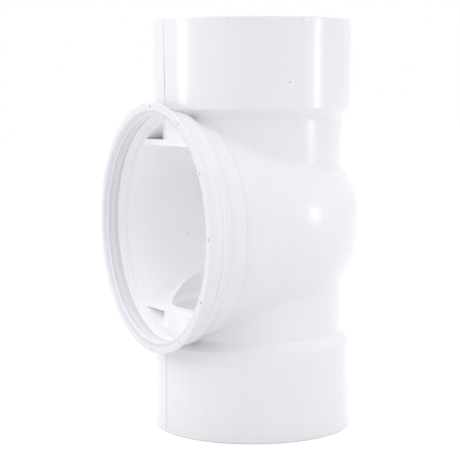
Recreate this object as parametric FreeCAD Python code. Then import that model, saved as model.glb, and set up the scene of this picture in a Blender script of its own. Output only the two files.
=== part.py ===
import FreeCAD, Part
import math
import os

# A test cleanout tee for 3 inch drain pipe, moulded in one piece.
# Millimetres. +Z runs up the pipe run, the plug opening faces -Y, and the
# origin is the centre of the lower socket's mouth.

# Pipe run
overall_length = 206.5
hub_mouth_diameter = 100.3
hub_draft_deg = 0.8
hub_length = 44.4
shoulder_length = 4.55
run_diameter = 91.3
run_bore_diameter = 80.0
hub_edge_radius = 0.8
shoulder_radius = 1.6
bore_mouth_diameter = 84.0
bore_mouth_depth = 3.0

# Pipe sockets
socket_depth = 38.1
socket_diameter = 89.1
socket_lead_in = 0.8

# Barrel round the plug opening's axis, with its blunt nose behind the run
barrel_crest_diameter = 112.6
barrel_crest_reach = 7.7
barrel_front_radius = 225.0
barrel_nose_radius = 68.0
nose_cone_deg = 46.0
nose_reach = 48.5
nose_edge_radius = 15.5
barrel_wall = 6.2
junction_fillet = 4.7

# Collar that carries the plug thread
rim_reach = 57.6
rim_diameter = 124.0
rim_lip_length = 1.8
rim_edge_radius = 0.5
neck_front_diameter = 120.2
neck_back_diameter = 116.8
bead_diameter = 117.4
bead_front = 49.2
bead_back = 44.5
collar_diameter = 113.2
collar_back = 35.0
collar_edge_radius = 0.8

# Plug opening inside the collar
opening_diameter = 117.2
thread_diameter = 114.0
thread_lead_in = 0.8
thread_length = 7.1
seat_step_reach = 45.5
seat_step_outer_diameter = 111.3
seat_step_inner_diameter = 106.2
chamber_flare_length = 9.5
chamber_flare_radius = 50.0

# Dished floor and ceiling of the chamber, each a shelf round the run's bore.
# The dish widens towards the mouth until only the flat shelf is left.
shelf_gap = 81.0
chamber_height = 79.2
dish_reach = 20.0
dish_mouth_scale = 1.125
floor_radius = 140.0
floor_slope_deg = 11.4
chamber_corner_radius = 25.0
side_slope_deg = 61.4
shelf_thickness = 2.9

# Closer than this, two points count as one
same_point = 1e-3

# Derived sizes
mid_height = overall_length / 2
run_radius = run_diameter / 2
bore_radius = run_bore_diameter / 2
crest_radius = barrel_crest_diameter / 2
hub_draft = math.tan(math.radians(hub_draft_deg))
chamber_radius = crest_radius - barrel_wall
far = 2 * (rim_reach + rim_diameter)


def rounded_wire(corners, place):
    """A closed wire through (a, b, radius) corners, each corner rounded by
    its radius. place turns (a, b) into a point in space."""
    edges = []
    count = len(corners)
    starts = []
    for index, (a, b, radius) in enumerate(corners):
        here = FreeCAD.Vector(a, b, 0)
        back = FreeCAD.Vector(*corners[index - 1][:2], 0) - here
        ahead = FreeCAD.Vector(*corners[(index + 1) % count][:2], 0) - here
        back.normalize()
        ahead.normalize()
        if radius:
            half = back.getAngle(ahead) / 2
            run = radius / math.tan(half)
            middle = back + ahead
            middle.normalize()
            reach = radius / math.sin(half) - radius
            starts.append((here + back * run, here + middle * reach, here + ahead * run))
        else:
            starts.append((here, None, here))
    for index, (first, middle, last) in enumerate(starts):
        if middle:
            edges.append(Part.Arc(place(first), place(middle), place(last)).toShape())
        following = starts[(index + 1) % count][0]
        if following.distanceToPoint(last) > same_point:
            edges.append(Part.LineSegment(place(last), place(following)).toShape())
    return Part.Wire(edges)


def run_point(point):
    """Radius and height about the run's axis."""
    return FreeCAD.Vector(point.x, 0, point.y)


def branch_point(point):
    """Reach along the plug opening's axis and radius about it."""
    return FreeCAD.Vector(0, -point.x, mid_height + point.y)


def revolve_run(corners):
    face = Part.Face(rounded_wire(corners, run_point))
    return face.revolve(FreeCAD.Vector(0, 0, 0), FreeCAD.Vector(0, 0, 1), 360)


def revolve_branch(corners):
    face = Part.Face(rounded_wire(corners, branch_point))
    return face.revolve(FreeCAD.Vector(0, 0, mid_height), FreeCAD.Vector(0, -1, 0), 360)


def mirrored_half(corners):
    """Corners of the lower half of the run, and the same corners above."""
    above = [(r, overall_length - z, radius) for r, z, radius in reversed(corners)]
    return corners + above


def run_outside():
    """Two drafted hubs joined by the plain run."""
    mouth = hub_mouth_diameter / 2
    shoulder = mouth - hub_length * hub_draft
    half = [
        (0, 0, 0),
        (mouth, 0, hub_edge_radius),
        (shoulder, hub_length, shoulder_radius),
        (run_radius, hub_length + shoulder_length, shoulder_radius),
    ]
    return revolve_run(mirrored_half(half))


def run_inside():
    """Sockets at both ends of the run's bore, each with a short lead-in."""
    socket = socket_diameter / 2
    half = [
        (0, 0, 0),
        (socket + socket_lead_in, 0, 0),
        (socket, socket_lead_in, 0),
        (socket, socket_depth, 0),
        (bore_radius, socket_depth, 0),
    ]
    return revolve_run(mirrored_half(half))


def nose_corner(arc_radius):
    """Reach where the crest's tangent meets the cone of the nose."""
    return barrel_crest_reach - arc_radius * math.tan(math.radians(nose_cone_deg) / 2)


def nose_end(radius, arc_radius, reach):
    """The cone's radius at the blunt end."""
    depth = reach + nose_corner(arc_radius)
    return radius - depth * math.tan(math.radians(nose_cone_deg))


def barrel_outside():
    """The barrel swells from the collar to its crest, then closes in a cone
    with a blunt rounded end."""
    corner = nose_corner(barrel_nose_radius)
    front_turn = math.asin((collar_back - barrel_crest_reach) / barrel_front_radius)
    front_corner = barrel_crest_reach + barrel_front_radius * math.tan(front_turn / 2)
    front = collar_back + collar_edge_radius
    front_radius = crest_radius - (front - front_corner) * math.tan(front_turn)
    return revolve_branch([
        (-nose_reach, 0, 0),
        (-nose_reach, nose_end(crest_radius, barrel_nose_radius, nose_reach), nose_edge_radius),
        (corner, crest_radius, barrel_nose_radius),
        (front_corner, crest_radius, barrel_front_radius),
        (front, front_radius, 0),
        (front, 0, 0),
    ])


def collar_outside():
    """Lip, neck, bead and plain band, from the mouth back to the barrel."""
    bead = bead_diameter / 2
    collar = collar_diameter / 2
    return revolve_branch([
        (rim_reach, 0, 0),
        (rim_reach, rim_diameter / 2, rim_edge_radius),
        (rim_reach - rim_lip_length, rim_diameter / 2, rim_edge_radius),
        (rim_reach - rim_lip_length, neck_front_diameter / 2, rim_edge_radius),
        (bead_front, neck_back_diameter / 2, 0),
        (bead_front - rim_edge_radius, bead, rim_edge_radius),
        (bead_back, bead, collar_edge_radius),
        (bead_back, collar, 0),
        (collar_back, collar, collar_edge_radius),
        (collar_back, 0, 0),
    ])


def opening_inside():
    """Thread bore, tapered band and seating step of the plug opening."""
    mouth = opening_diameter / 2
    thread = thread_diameter / 2
    thread_end = rim_reach - thread_length
    return revolve_branch([
        (rim_reach, 0, 0),
        (rim_reach, mouth, 0),
        (rim_reach - thread_lead_in, thread, 0),
        (thread_end, thread, 0),
        (seat_step_reach, seat_step_outer_diameter / 2, 0),
        (seat_step_reach, 0, 0),
    ])


def chamber_inside():
    """The barrel's hollow, one wall inside it, flared at the seating step."""
    arc = barrel_nose_radius - barrel_wall
    corner = nose_corner(arc)
    end = nose_reach - barrel_wall
    return revolve_branch([
        (seat_step_reach, 0, 0),
        (seat_step_reach, seat_step_inner_diameter / 2, 0),
        (seat_step_reach - chamber_flare_length, chamber_radius, chamber_flare_radius),
        (corner, chamber_radius, arc),
        (-end, nose_end(chamber_radius, arc, end), nose_edge_radius - barrel_wall),
        (-end, 0, 0),
    ])


def section_wire(scale, reach):
    """Outline of the chamber seen along the plug opening's axis: a dished
    floor and ceiling with round corners, and sides that clear the barrel's
    hollow."""
    slope = math.radians(floor_slope_deg)
    side = math.radians(side_slope_deg)
    floor = scale * floor_radius
    round_corner = scale * chamber_corner_radius
    keel = scale * chamber_height / 2 + floor * (1 / math.cos(slope) - 1)
    run = floor * math.tan(slope) + round_corner * math.tan((side - slope) / 2)
    corner = run * math.cos(slope)
    corner_height = keel - run * math.sin(slope)
    side_point = corner + corner_height / math.tan(side)

    def section_point(point):
        return FreeCAD.Vector(point.x, -reach, mid_height + point.y)

    return rounded_wire([
        (0, -keel, floor),
        (corner, -corner_height, round_corner),
        (side_point, 0, 0),
        (corner, corner_height, round_corner),
        (0, keel, floor),
        (-corner, corner_height, round_corner),
        (-side_point, 0, 0),
        (-corner, -corner_height, round_corner),
    ], section_point)


def chamber_section():
    """The dished section, straight over the bore and wider at the mouth."""
    inner = section_wire(1, dish_reach)
    deep = Part.Face(inner).extrude(FreeCAD.Vector(0, far, 0))
    mouth = section_wire(dish_mouth_scale, seat_step_reach)
    return deep.fuse(Part.makeLoft([inner, mouth], True, True))


def beyond_shelves(height):
    """Blocks above and below the given half height."""
    above = Part.makeBox(far, far, far, FreeCAD.Vector(-far / 2, -far / 2, mid_height + height))
    below = Part.makeBox(far, far, far, FreeCAD.Vector(-far / 2, -far / 2, mid_height - height - far))
    return above.fuse(below)


def chamber_void():
    """The chamber between its floor and ceiling, and the pockets left
    between each shelf, the run's wall and the barrel."""
    whole = chamber_inside()
    pipe = Part.makeCylinder(run_radius, overall_length)
    between = whole.cut(beyond_shelves(shelf_gap / 2)).common(chamber_section())
    pockets = whole.common(beyond_shelves(shelf_gap / 2 + shelf_thickness)).cut(pipe)
    return between.fuse(pockets)


def bore_mouths():
    """The run's bore widens where it opens into the chamber."""
    mouth = bore_mouth_diameter / 2
    level = mid_height - chamber_height / 2
    return revolve_run(mirrored_half([
        (0, level - bore_mouth_depth, 0),
        (bore_radius, level - bore_mouth_depth, 0),
        (mouth, level, bore_mouth_depth),
    ]))


def is_meeting_edge(edge):
    """An edge that lies on the plain run, off the circles at its ends."""
    points = [vertex.Point for vertex in edge.Vertexes]
    points.append(edge.valueAt((edge.FirstParameter + edge.LastParameter) / 2))
    heights = [point.z for point in points]
    if max(heights) - min(heights) < same_point:
        return False
    return all(abs(math.hypot(point.x, point.y) - run_radius) < same_point for point in points)


def run_with_barrel():
    """The run and the barrel, with a fillet where they meet."""
    body = run_outside().fuse(barrel_outside())
    meeting = [edge for edge in body.Edges if is_meeting_edge(edge)]
    return body.makeFillet(junction_fillet, meeting)


def tee_body():
    """Outer form less the run's bore, the plug opening and the chamber."""
    body = run_with_barrel().fuse(collar_outside())
    void = run_inside().fuse([opening_inside(), chamber_void(), bore_mouths()])
    return body.cut(void).removeSplitter()


os.makedirs("parts", exist_ok=True)
tee = tee_body()
solid = tee.Solids[0]
print("solids", len(tee.Solids), "valid", tee.isValid(), "volume", round(tee.Volume))
solid.exportStep("parts/tee_body.step")
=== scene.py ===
import bpy
import math
from mathutils import Matrix, Vector


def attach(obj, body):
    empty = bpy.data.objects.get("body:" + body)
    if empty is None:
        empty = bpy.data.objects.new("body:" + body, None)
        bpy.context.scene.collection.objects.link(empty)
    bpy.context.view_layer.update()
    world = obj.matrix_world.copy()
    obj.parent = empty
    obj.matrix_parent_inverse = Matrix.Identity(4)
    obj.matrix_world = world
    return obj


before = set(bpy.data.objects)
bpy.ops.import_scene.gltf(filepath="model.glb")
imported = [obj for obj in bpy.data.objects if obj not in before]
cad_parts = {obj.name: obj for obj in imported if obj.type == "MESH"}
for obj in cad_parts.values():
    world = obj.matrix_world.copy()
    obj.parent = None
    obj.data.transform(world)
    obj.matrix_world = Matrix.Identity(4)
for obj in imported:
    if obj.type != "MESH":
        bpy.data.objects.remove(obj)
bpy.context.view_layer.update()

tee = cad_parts["tee_body"]

# Sizes in metres. The run stands on z = 0, and the plug opening faces -y at
# the height MID. A reach is measured from the run's axis towards the opening.
LENGTH = 0.2065
MID = LENGTH / 2
HUB_MOUTH = 0.05015
HUB_LENGTH = 0.0444
HUB_DRAFT = math.radians(0.8)
RIM_REACH = 0.0576
RIM_INNER = 0.0580
LIP_BACK = 0.0558
NECK_FRONT = 0.0595
COLLAR_OUTER = 0.0625
THREAD_ROOT = 0.0570
THREAD_END = 0.0499
THREAD_PITCH = 0.003175
SEAT_REACH = 0.0455
SEAT_RADIUS = 0.0560
CHAMBER_WALL = 0.0536
MARGIN = 0.0002
FACE_MARGIN = 0.00005

# Pin marks, every 30 degrees round the rim's face on the +x side
PIN_CIRCLE = 0.0603
PIN_STEP = math.radians(30)
PIN_COUNT = 7
PINS_FROM = -0.002

# The tinted front line on the hubs, and its browned stretch
LINE_REACH = (0.0485, 0.0505)
LINE_RADIUS = 0.0492
BROWN_FOOT = (0.066, 0.070)
BROWN_TOP = (0.086, 0.082)

# Where a painted lightening, a painted shade or a rougher finish fades in: none at the first value, all of it
# at the second
BORE_FADE = (0.0452, 0.0450)
OPENING_FADE = (0.0444, 0.0456)
CHAMBER_FADE = (-0.014, -0.004)
COLLAR_FADE = (0.0440, 0.0455)
POCKET_FADE = (0.0446, 0.0432)
LEAD_IN_INNER = (0.0569, 0.0572)
LEAD_IN_OUTER = (0.0588, 0.0584)
LEAD_IN_REACH = (0.0563, 0.0567)
DULL_COLLAR = (0.0465, 0.0490)
PIN_FADE = (0.00068, 0.00030)

# Half widths of the painted-shade bands round the thread's end, the lip and
# the seat, and of the hubs' line
THREAD_END_BAND = 0.0006
LIP_BAND = 0.0007
SEAT_BAND = 0.0006
LINE_BAND = 0.0006

# Small spots, each with its place and size: a pale scuff and a nick on the
# upper hub, and a speck on the chamber's far wall
SCUFF = ((0.0493, -0.0064, 0.1746), 0.0013)
NICKS = (((0.0495, -0.0072, 0.17505), 0.0008), ((-0.0494, -0.0112, 0.09465), 0.0005))

# The plastic outside, between two tones, and the tints laid over it in this
# order, each with its share. All are fitted to the photograph's tones.
OUTER_DARK = (0.852, 0.852, 0.893, 1)
OUTER_LIGHT = (0.880, 0.880, 0.918, 1)
TINTS = {
    # painted light: the inside and the bore are lighter copies of the outside's plastic, standing in for the
    # light that fills them
    "inside": ((0.962, 0.960, 0.985, 1), 1.0),
    "bore": ((0.985, 0.984, 0.998, 1), 1.0),
    # painted shade: a dark line where the thread runs out
    "thread end shade": ((0.42, 0.42, 0.50, 1), 0.55),
    # painted shade, with a warm cast, in the step behind the lip
    "shade behind lip": ((0.70, 0.62, 0.50, 1), 0.35),
    # painted shade: the lead-in is darkened
    "lead-in shade": ((0.60, 0.60, 0.66, 1), 0.75),
    # painted shade over the seat step's pale lit edge
    "seat step shade": ((0.82, 0.82, 0.87, 1), 0.35),
    # painted shade: the threaded wall is dimmed where its ridges catch the light
    "thread": ((0.74, 0.74, 0.81, 1), 0.55),
    "rim face": ((0.78, 0.78, 0.83, 1), 0.7),
    # painted shade: the pin marks' dark middles stand for the shade in their pits
    "pin marks": ((0.30, 0.30, 0.30, 1), 0.85),
    "hub line": ((0.40, 0.40, 0.42, 1), 0.35),
    "brown stretch": ((0.30, 0.19, 0.12, 1), 0.5),
    "scuff": ((0.99, 0.99, 0.98, 1), 0.7),
    "nicks": ((0.34, 0.34, 0.34, 1), 0.75),
}

# Finish: roughness between two tones, what is added inside and on the collar,
# and the scale of the mottling, the skin and the relief
ROUGHNESS = (0.21, 0.27)
INSIDE_DULLER = 0.12
COLLAR_DULLER = 0.25
PATCH_SCALE = 22.0
SKIN_SCALE = 700.0
SURFACE_RELIEF = 0.05
RELIEF_DEPTH = 0.0003
RELIEF_STRENGTH = 0.6

# The photograph's viewpoint: place, lens, heading, pitch and roll
VIEW_PLACE = (0.6400, -0.3663, 0.1728)
VIEW_LENS = 112.9
HEADING = (-0.8755, 0.4832, 0)
VIEW_PITCH = 0.0986
VIEW_ROLL = 0.003

# The tent's brightness towards four sides, and the lamps: name, place, width,
# height and watts. The socket lamp stands in the lower socket and lights the
# bore.
TENT = (((0, 0, 1), 1.33), (HEADING, 0.34), ((0.4832, 0.8755, 0), 0.44), ((-0.4832, -0.8755, 0), 0.35))
LAMPS = (
    ("right_lamp", (0.34, 0.37, 0.18), 0.06, 0.12, 0.18),
    ("left_lamp", (-0.19, -0.449, 0.19), 0.10, 0.15, 0.24),
    ("key_lamp", (0.53, -0.85, 0.75), 0.40, 0.40, 1.25),
    ("socket_lamp", (0, 0, 0.004), 0.07, 0.07, 0.007),
)
FLOOR_SIZE = 8
FLOOR_COLOUR = (0.8, 0.8, 0.8, 1)
FLOOR_GLOW = 0.35

# The colour sockets of a Mix node, by their places in its lists
COLOUR_A, COLOUR_B, COLOUR_RESULT = 6, 7, 2


class Shade:
    """Short ways to add nodes to one material, world or group."""

    def __init__(self, tree):
        self.nodes = tree.nodes
        self.links = tree.links

    def put(self, socket, value):
        """Give an input its value: a link, a number or a list of numbers."""
        if isinstance(value, bpy.types.NodeSocket):
            self.links.new(value, socket)
        else:
            socket.default_value = value

    def add(self, kind, **inputs):
        """A node of one kind, with the inputs that are named."""
        node = self.nodes.new(kind)
        for name, value in inputs.items():
            self.put(node.inputs[name], value)
        return node

    def group(self, tree, **inputs):
        """The outputs of a node group, with the inputs that are named."""
        node = self.nodes.new("ShaderNodeGroup")
        node.node_tree = tree
        for name, value in inputs.items():
            self.put(node.inputs[name], value)
        return node.outputs

    def math(self, operation, *values, clamp=False):
        node = self.nodes.new("ShaderNodeMath")
        node.operation = operation
        node.use_clamp = clamp
        for socket, value in zip(node.inputs, values):
            self.put(socket, value)
        return node.outputs[0]

    def product(self, first, *others):
        for other in others:
            first = self.math("MULTIPLY", first, other)
        return first

    def either(self, first, second):
        return self.math("MAXIMUM", first, second)

    def above(self, value, limit):
        return self.math("GREATER_THAN", value, limit)

    def below(self, value, limit):
        return self.math("LESS_THAN", value, limit)

    def length(self, first, second):
        squares = self.math("ADD", self.product(first, first), self.product(second, second))
        return self.math("SQRT", squares)

    def blend(self, first, share, second):
        """A share of the first value, and the rest of the second."""
        return self.math("ADD", self.product(first, share), self.product(second, 1 - share))

    def fade(self, value, none, full):
        """0 at none and beyond it, 1 at full and beyond it, smooth between."""
        node = self.add("ShaderNodeMapRange", Value=value, **{"From Min": none, "From Max": full})
        node.interpolation_type = "SMOOTHSTEP"
        return node.outputs["Result"]

    def mix(self, first, second, factor):
        """A colour between two others."""
        node = self.nodes.new("ShaderNodeMix")
        node.data_type = "RGBA"
        self.put(node.inputs["Factor"], factor)
        self.put(node.inputs[COLOUR_A], first)
        self.put(node.inputs[COLOUR_B], second)
        return node.outputs[COLOUR_RESULT]


def new_group(name, inputs, outputs):
    """An empty node group with named sockets, given as (name, type) pairs."""
    group = bpy.data.node_groups.new(name, "ShaderNodeTree")
    for socket, kind in inputs:
        group.interface.new_socket(socket, in_out="INPUT", socket_type="NodeSocket" + kind)
    for socket, kind in outputs:
        group.interface.new_socket(socket, in_out="OUTPUT", socket_type="NodeSocket" + kind)
    start = group.nodes.new("NodeGroupInput").outputs
    end = group.nodes.new("NodeGroupOutput").inputs
    return group, start, end


# Camera, lamps, world and floor

def add_camera():
    data = bpy.data.cameras.new("photo_view")
    data.lens = VIEW_LENS
    data.sensor_width = 36.0
    camera = bpy.data.objects.new("photo_view", data)
    bpy.context.scene.collection.objects.link(camera)
    level = math.cos(VIEW_PITCH)
    forward = Vector((HEADING[0] * level, HEADING[1] * level, -math.sin(VIEW_PITCH)))
    right = forward.cross(Vector((0, 0, 1))).normalized()
    up = right.cross(forward)
    right = (right - VIEW_ROLL * up).normalized()
    up = right.cross(forward)
    turn = Matrix((right, up, -forward)).transposed()
    camera.matrix_world = Matrix.Translation(VIEW_PLACE) @ turn.to_4x4()
    bpy.context.scene.camera = camera


def add_lamp(name, place, width, height, watts):
    """An oval lamp that faces the middle of the tee."""
    data = bpy.data.lights.new(name, "AREA")
    data.shape = "ELLIPSE"
    data.size = width
    data.size_y = height
    data.energy = watts
    lamp = bpy.data.objects.new(name, data)
    bpy.context.scene.collection.objects.link(lamp)
    aim = Vector((0, 0, MID)) - Vector(place)
    lamp.matrix_world = Matrix.Translation(place) @ aim.to_track_quat("-Z", "Y").to_matrix().to_4x4()


def soft_side_group():
    """How bright the white tent is towards one side."""
    group, start, end = new_group("soft_side", [("Direction", "Vector"), ("Side", "Vector"),
                                                ("Strength", "Float")], [("Level", "Float")])
    shade = Shade(group)
    dot = shade.nodes.new("ShaderNodeVectorMath")
    dot.operation = "DOT_PRODUCT"
    shade.put(dot.inputs[0], start["Direction"])
    shade.put(dot.inputs[1], start["Side"])
    towards = shade.either(dot.outputs["Value"], 0.0)
    shade.put(end["Level"], shade.product(towards, start["Strength"]))
    return group


def direct_view(shade):
    """1 where a ray from the camera, a gloss or a clear part sees the tent
    or the floor."""
    path = shade.nodes.new("ShaderNodeLightPath").outputs
    seen = shade.either(path["Is Camera Ray"], path["Is Glossy Ray"])
    return shade.either(seen, path["Is Transmission Ray"])


def studio_world():
    """A white tent, brightest overhead, that the camera sees as plain white."""
    world = bpy.data.worlds.new("studio")
    world.use_nodes = True
    bpy.context.scene.world = world
    shade = Shade(world.node_tree)
    direction = shade.nodes.new("ShaderNodeTexCoord").outputs["Generated"]
    group = soft_side_group()
    levels = [shade.group(group, Direction=direction, Side=side, Strength=strength)["Level"]
              for side, strength in TENT]
    total = levels[0]
    for level in levels[1:]:
        total = shade.math("ADD", total, level)
    shown = shade.add("ShaderNodeMix", Factor=direct_view(shade), A=total, B=1.0)
    background = shade.nodes["Background"]
    shade.put(background.inputs["Strength"], shown.outputs["Result"])
    shade.put(background.inputs["Color"], (1, 1, 1, 1))


def studio_floor():
    """A white table top that keeps the tee's shadow."""
    deselect()
    bpy.ops.mesh.primitive_plane_add(size=FLOOR_SIZE, location=(0, 0, 0))
    plane = bpy.context.object
    plane.name = "floor"
    material = bpy.data.materials.new("table_top")
    material.use_nodes = True
    shade = Shade(material.node_tree)
    shade.nodes.remove(shade.nodes["Principled BSDF"])
    diffuse = shade.add("ShaderNodeBsdfDiffuse", Color=FLOOR_COLOUR)
    glow = shade.add("ShaderNodeEmission", Strength=shade.product(direct_view(shade), FLOOR_GLOW))
    both = shade.nodes.new("ShaderNodeAddShader")
    shade.put(both.inputs[0], diffuse.outputs[0])
    shade.put(both.inputs[1], glow.outputs[0])
    shade.put(shade.nodes["Material Output"].inputs["Surface"], both.outputs[0])
    plane.data.materials.append(material)


# Shared effects

def places_group():
    """Distances on the fitting: from the run's axis and from the opening's
    axis, the reach, the turn round the opening, and places across and up."""
    group, start, end = new_group("places", [("Point", "Vector")],
                                  [("Run radius", "Float"), ("Branch radius", "Float"), ("Reach", "Float"),
                                   ("Turn", "Float"), ("Across", "Float"), ("Height", "Float")])
    shade = Shade(group)
    split = shade.nodes.new("ShaderNodeSeparateXYZ")
    shade.put(split.inputs[0], start["Point"])
    x, y, z = split.outputs
    height = shade.math("SUBTRACT", z, MID)
    shade.put(end["Run radius"], shade.length(x, y))
    shade.put(end["Branch radius"], shade.length(x, height))
    shade.put(end["Reach"], shade.product(y, -1.0))
    shade.put(end["Turn"], shade.math("ARCTAN2", x, height))
    shade.put(end["Across"], x)
    shade.put(end["Height"], height)
    return group


def band_group():
    """1 at a place, falling to 0 a width away from it on both sides."""
    group, start, end = new_group("narrow_band", [("Value", "Float"), ("Place", "Float"), ("Width", "Float")],
                                  [("Mask", "Float")])
    shade = Shade(group)
    gap = shade.math("ABSOLUTE", shade.math("SUBTRACT", start["Value"], start["Place"]))
    share = shade.math("DIVIDE", gap, start["Width"])
    shade.put(end["Mask"], shade.math("SUBTRACT", 1.0, share, clamp=True))
    return group


def speck_group():
    """A small round speck at a point, with a solid middle and a soft edge."""
    middle_gain = 1.6
    group, start, end = new_group("speck", [("Point", "Vector"), ("Place", "Vector"), ("Size", "Float")],
                                  [("Mask", "Float")])
    shade = Shade(group)
    gap = shade.nodes.new("ShaderNodeVectorMath")
    gap.operation = "DISTANCE"
    shade.put(gap.inputs[0], start["Point"])
    shade.put(gap.inputs[1], start["Place"])
    share = shade.math("DIVIDE", gap.outputs["Value"], start["Size"])
    rest = shade.math("SUBTRACT", 1.0, share, clamp=True)
    shade.put(end["Mask"], shade.math("MULTIPLY", rest, middle_gain, clamp=True))
    return group


def moulded_surface_group():
    """Slow mottling, streaks up the part and a fine skin."""
    streak_scale = 160.0
    streak_stretch = (1, 1, 0.12)
    patch_tone_share = 0.65
    patch_height_share = 0.7
    darkest, lightest = 0.3, 0.7
    group, start, end = new_group("moulded_surface",
                                  [("Point", "Vector"), ("Patch", "Float"), ("Skin", "Float")],
                                  [("Tone", "Float"), ("Height", "Float")])
    shade = Shade(group)
    point = start["Point"]
    stretched = shade.add("ShaderNodeMapping", Vector=point, Scale=streak_stretch).outputs[0]
    patches = shade.add("ShaderNodeTexNoise", Vector=point, Scale=start["Patch"], Detail=3.0).outputs[0]
    streaks = shade.add("ShaderNodeTexNoise", Vector=stretched, Scale=streak_scale, Detail=2.0).outputs[0]
    skin = shade.add("ShaderNodeTexNoise", Vector=point, Scale=start["Skin"], Detail=2.0).outputs[0]
    tone = shade.blend(patches, patch_tone_share, streaks)
    shade.put(end["Tone"], shade.fade(tone, darkest, lightest))
    shade.put(end["Height"], shade.blend(patches, patch_height_share, skin))
    return group


# The plastic: masks for its tints, painted light and shade among them, its gloss and its relief

def inside_painted_light_and_gloss_masks(shade, places):
    """The run's bore and sockets, and with them the chamber and the plug
    opening, up to the rim's face and below the shelves' pockets. Both masks
    lighten the plastic as painted light; the inside one also roughens it."""
    reach = places["Reach"]
    bore = shade.fade(places["Run radius"], *BORE_FADE)
    widening = shade.product(shade.fade(reach, *OPENING_FADE), RIM_INNER - CHAMBER_WALL)
    wall = shade.math("ADD", widening, CHAMBER_WALL)
    chamber = shade.product(shade.below(places["Branch radius"], wall), shade.fade(reach, *CHAMBER_FADE))
    off_the_face = shade.below(reach, RIM_REACH - FACE_MARGIN)
    off_the_pockets = shade.either(shade.fade(reach, *COLLAR_FADE),
                                   shade.fade(places["Height"], *POCKET_FADE))
    inside = shade.product(shade.either(bore, chamber), off_the_face, off_the_pockets)
    return {"inside": inside, "bore": bore}


def opening_masks(shade, places, band):
    """The thread and its end, the lead-in, the rim's face, the edge behind the lip
    and the seat's step. All but the rim's face are painted shade."""
    reach = places["Reach"]
    radius = places["Branch radius"]
    thread_wall = shade.below(radius, THREAD_ROOT + MARGIN)
    thread_end = shade.group(band, Value=reach, Place=THREAD_END + MARGIN, Width=THREAD_END_BAND)["Mask"]
    lip_back = shade.group(band, Value=reach, Place=LIP_BACK, Width=LIP_BAND)["Mask"]
    seat = shade.group(band, Value=reach, Place=SEAT_REACH, Width=SEAT_BAND)["Mask"]
    lead_in = shade.product(shade.fade(radius, *LEAD_IN_INNER), shade.fade(radius, *LEAD_IN_OUTER),
                            shade.fade(reach, *LEAD_IN_REACH))
    return {
        # painted shade: a dark line where the thread runs out
        "thread end shade": shade.product(thread_end, thread_wall),
        # painted shade, with a warm cast, in the step behind the lip
        "shade behind lip": shade.product(lip_back, shade.above(radius, NECK_FRONT)),
        # painted shade: the lead-in is darkened
        "lead-in shade": lead_in,
        # painted shade over the seat step's pale lit edge
        "seat step shade": shade.product(seat, shade.below(radius, SEAT_RADIUS)),
        # painted shade: the threaded wall is dimmed where its ridges catch the light
        "thread": shade.product(shade.fade(reach, THREAD_END - MARGIN, THREAD_END), thread_wall),
        "rim face": shade.product(shade.above(reach, RIM_REACH - MARGIN), shade.above(radius, RIM_INNER)),
    }


def pin_mask(shade, places):
    """Round marks at even steps on the rim's face, on the +x side: pits in the
    relief, with painted shade darkening their middles.
    """
    turns = shade.math("DIVIDE", places["Turn"], PIN_STEP)
    off_step = shade.math("SUBTRACT", turns, shade.math("ROUND", turns))
    aside = shade.product(off_step, PIN_STEP * PIN_CIRCLE)
    outwards = shade.math("SUBTRACT", places["Branch radius"], PIN_CIRCLE)
    return shade.product(shade.fade(shade.length(aside, outwards), *PIN_FADE),
                         shade.above(places["Reach"], RIM_REACH - MARGIN),
                         shade.above(places["Across"], PINS_FROM))


def hub_line_masks(shade, places, band):
    """The line down the front of both hubs, and its brown stretch."""
    reach = places["Reach"]
    height = places["Height"]
    front = shade.product(shade.above(reach, LINE_REACH[0]), shade.below(reach, LINE_REACH[1]))
    middle = shade.group(band, Value=places["Across"], Place=0.0, Width=LINE_BAND)["Mask"]
    line = shade.product(middle, front, shade.above(places["Run radius"], LINE_RADIUS))
    brown = shade.product(shade.fade(height, *BROWN_FOOT), shade.fade(height, *BROWN_TOP))
    return {"hub line": line, "brown stretch": shade.product(brown, line)}


def spot_masks(shade, point):
    """The pale scuff and the dark nicks."""
    speck = speck_group()
    scuff, *nicks = [shade.group(speck, Point=point, Place=place, Size=size)["Mask"]
                     for place, size in (SCUFF,) + NICKS]
    return {"scuff": scuff, "nicks": shade.either(*nicks)}


def duller(shade, places, inside):
    """What the inside and the collar add to the roughness."""
    collar = shade.product(shade.fade(places["Reach"], *DULL_COLLAR),
                           shade.below(places["Branch radius"], COLLAR_OUTER))
    return shade.either(shade.product(inside, INSIDE_DULLER), shade.product(collar, COLLAR_DULLER))


def relief(shade, surface, pits):
    """The surface's own unevenness, with the pits sunk in it."""
    height = shade.math("SUBTRACT", shade.product(surface["Height"], SURFACE_RELIEF), pits)
    bump = shade.add("ShaderNodeBump", Height=height, Distance=RELIEF_DEPTH, Strength=RELIEF_STRENGTH)
    return bump.outputs[0]


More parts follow.
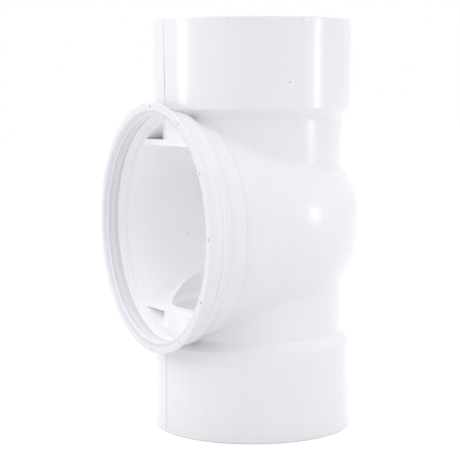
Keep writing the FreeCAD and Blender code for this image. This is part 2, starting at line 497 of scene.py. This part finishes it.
def white_pvc():
    """White moulded PVC with the small marks of its mould."""
    material = bpy.data.materials.new("white_pvc")
    material.use_nodes = True
    shade = Shade(material.node_tree)
    shader = shade.nodes["Principled BSDF"]
    point = shade.nodes.new("ShaderNodeTexCoord").outputs["Object"]
    places = shade.group(places_group(), Point=point)
    surface = shade.group(moulded_surface_group(), Point=point, Patch=PATCH_SCALE, Skin=SKIN_SCALE)
    band = band_group()

    masks = inside_painted_light_and_gloss_masks(shade, places)
    masks.update(opening_masks(shade, places, band))
    masks["pin marks"] = pin_mask(shade, places)
    masks.update(hub_line_masks(shade, places, band))
    masks.update(spot_masks(shade, point))
    colour = shade.mix(OUTER_DARK, OUTER_LIGHT, surface["Tone"])
    for name, (over, share) in TINTS.items():
        colour = shade.mix(colour, over, shade.product(masks[name], share))
    shade.put(shader.inputs["Base Color"], colour)

    smooth, rough = ROUGHNESS
    base = shade.add("ShaderNodeMapRange", Value=surface["Tone"], **{"To Min": smooth, "To Max": rough})
    added = duller(shade, places, masks["inside"])
    shade.put(shader.inputs["Roughness"], shade.math("ADD", base.outputs["Result"], added))
    pits = shade.either(masks["pin marks"], masks["nicks"])
    shade.put(shader.inputs["Normal"], relief(shade, surface, pits))
    return material


# Modelling helpers

def deselect():
    if bpy.context.object and bpy.context.object.mode == "EDIT":
        bpy.ops.object.mode_set(mode="OBJECT")
    bpy.ops.object.select_all(action="DESELECT")


def apply_all(piece):
    """Move a piece's place, turn and scale into its mesh."""
    deselect()
    piece.select_set(True)
    bpy.context.view_layer.objects.active = piece
    bpy.ops.object.transform_apply(location=True, rotation=True, scale=True)


def edit_all():
    """Edit mode, with the whole mesh selected."""
    bpy.ops.object.mode_set(mode="EDIT")
    bpy.ops.mesh.select_all(action="SELECT")


def edit_where(piece, chosen):
    """Edit mode, with the vertices selected whose place passes a test."""
    bpy.ops.object.mode_set(mode="EDIT")
    bpy.ops.mesh.select_all(action="DESELECT")
    bpy.ops.object.mode_set(mode="OBJECT")
    for vertex in piece.data.vertices:
        vertex.select = chosen(vertex.co)
    bpy.ops.object.mode_set(mode="EDIT")


def add_piece(piece, material):
    piece.data.materials.clear()
    piece.data.materials.append(material)
    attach(piece, "root")


def place_copy(piece, place):
    """A copy of a piece, with its own mesh, turned and moved to its place."""
    copy = piece.copy()
    copy.data = piece.data.copy()
    bpy.context.scene.collection.objects.link(copy)
    copy.matrix_world = place
    return copy


def join_pieces(pieces, name, smooth_degrees, plastic):
    """Join copies into one piece whose place is in its mesh."""
    for piece in pieces:
        apply_all(piece)
    deselect()
    for piece in pieces:
        piece.select_set(True)
    bpy.context.view_layer.objects.active = pieces[0]
    bpy.ops.object.join()
    pieces[0].name = name
    bpy.ops.object.shade_smooth_by_angle(angle=math.radians(smooth_degrees))
    add_piece(pieces[0], plastic)


# Fine details, added to the solid

def plug_thread(plastic):
    """A shallow thread inside the plug opening: a trapezium, wound in more
    turns than are needed and cut off near the rim and at the thread's end."""
    depth = 0.0008
    base = 0.0018
    crest_share = 0.22
    sunk = 0.0001
    wound_turns = 4
    steps = 96
    start_turn = 0.00244
    rim_gap = 0.0009
    end_gap = 0.0001
    quarter = math.radians(90)
    deselect()
    bpy.ops.mesh.primitive_plane_add(size=1, location=(THREAD_ROOT - depth / 2 + sunk, 0, 0),
                                     rotation=(quarter, 0, 0))
    thread = bpy.context.object
    thread.name = "plug_thread"
    thread.scale = (depth, base, 1)
    apply_all(thread)
    inner = min(vertex.co.x for vertex in thread.data.vertices)
    edit_where(thread, lambda place: place.x < inner + depth / 4)
    bpy.ops.transform.resize(value=(1, 1, crest_share))
    bpy.ops.mesh.select_all(action="SELECT")
    bpy.ops.mesh.delete(type="ONLY_FACE")
    bpy.ops.object.mode_set(mode="OBJECT")
    screw = thread.modifiers.new("turns", "SCREW")
    screw.axis = "Z"
    screw.screw_offset = THREAD_PITCH
    screw.iterations = wound_turns
    screw.steps = steps
    screw.render_steps = steps
    screw.use_merge_vertices = True
    bpy.ops.object.modifier_apply(modifier="turns")
    thread.location = (0, 0, RIM_REACH - wound_turns * THREAD_PITCH + start_turn)
    apply_all(thread)
    edit_all()
    bpy.ops.mesh.remove_doubles(threshold=0.000001)
    bpy.ops.mesh.bisect(plane_co=(0, 0, RIM_REACH - rim_gap), plane_no=(0, 0, 1), use_fill=True,
                        clear_outer=True)
    bpy.ops.mesh.select_all(action="SELECT")
    bpy.ops.mesh.bisect(plane_co=(0, 0, THREAD_END + end_gap), plane_no=(0, 0, 1), use_fill=True,
                        clear_inner=True)
    bpy.ops.mesh.select_all(action="SELECT")
    bpy.ops.mesh.normals_make_consistent(inside=False)
    bpy.ops.object.mode_set(mode="OBJECT")
    thread.rotation_euler = (quarter, 0, 0)
    thread.location = (0, 0, MID)
    apply_all(thread)
    bpy.ops.object.shade_smooth_by_angle(angle=math.radians(30))
    add_piece(thread, plastic)


def parting_lines(plastic):
    """A fine raised line up the front and the back of each hub."""
    width = 0.00045
    thickness = 0.0004
    edge = 0.00012
    mouth_gap = 0.0012
    end_gaps = 0.0032
    sunk = 0.00008
    run = HUB_LENGTH - end_gaps
    height = mouth_gap + run / 2
    radius = HUB_MOUTH - height * math.tan(HUB_DRAFT) - sunk
    deselect()
    bpy.ops.mesh.primitive_cube_add(size=1, location=(0, 0, 0))
    line = bpy.context.object
    line.scale = (width, thickness, run)
    apply_all(line)
    edit_all()
    bpy.ops.mesh.bevel(offset=edge, segments=2)
    bpy.ops.object.mode_set(mode="OBJECT")
    copies = []
    for front in (1, -1):
        for upper in (False, True):
            tilt = HUB_DRAFT * front * (-1 if upper else 1)
            place = Matrix.Translation((0, -front * radius, LENGTH - height if upper else height))
            copies.append(place_copy(line, place @ Matrix.Rotation(-tilt, 4, "X")))
    bpy.data.objects.remove(line)
    join_pieces(copies, "parting_lines", 40, plastic)


def pusher_pads(plastic):
    """Shallow half-round pads at the upper hub's mouth, two on each side."""
    radius = 0.0021
    thickness = 0.0006
    edge = 0.0001
    sunk = 0.00022
    mouth_gap = 0.0009
    turns_from_front = (45, 90, -45, -90)
    deselect()
    bpy.ops.mesh.primitive_cylinder_add(vertices=32, radius=radius, depth=thickness, location=(0, 0, 0))
    pad = bpy.context.object
    edit_all()
    bpy.ops.mesh.bevel(offset=edge, segments=2)
    bpy.ops.mesh.select_all(action="SELECT")
    bpy.ops.mesh.bisect(plane_co=(0, 0, 0), plane_no=(0, 1, 0), use_fill=True, clear_outer=True)
    bpy.ops.object.mode_set(mode="OBJECT")
    copies = []
    for degrees in turns_from_front:
        round_hub = Matrix.Rotation(math.radians(degrees), 4, "Z")
        lift = Matrix.Translation((0, -HUB_MOUTH + sunk, LENGTH - mouth_gap))
        copies.append(place_copy(pad, round_hub @ lift @ Matrix.Rotation(math.radians(90), 4, "X")))
    bpy.data.objects.remove(pad)
    join_pieces(copies, "pusher_pads", 40, plastic)


def pin_lips(plastic):
    """A fine lip round each pin mark on the rim's face, flat underneath."""
    radius = 0.00066
    thickness = 0.00012
    flattened = 0.2
    middle = -0.00001
    deselect()
    bpy.ops.mesh.primitive_torus_add(major_radius=radius, minor_radius=thickness, major_segments=20,
                                     minor_segments=8, location=(0, 0, 0))
    lip = bpy.context.object
    edit_where(lip, lambda place: place.z < middle)
    bpy.ops.transform.resize(value=(1, 1, flattened))
    bpy.ops.object.mode_set(mode="OBJECT")
    copies = []
    for index in range(PIN_COUNT):
        angle = PIN_STEP * index
        place = (PIN_CIRCLE * math.sin(angle), -RIM_REACH, MID + PIN_CIRCLE * math.cos(angle))
        copies.append(place_copy(lip, Matrix.Translation(place) @ Matrix.Rotation(math.radians(90), 4, "X")))
    bpy.data.objects.remove(lip)
    join_pieces(copies, "pin_lips", 80, plastic)


bpy.context.scene.view_settings.view_transform = "Standard"
add_camera()
studio_world()
studio_floor()
for lamp in LAMPS:
    add_lamp(*lamp)
plastic = white_pvc()
tee.data.materials.clear()
tee.data.materials.append(plastic)
plug_thread(plastic)
parting_lines(plastic)
pusher_pads(plastic)
pin_lips(plastic)
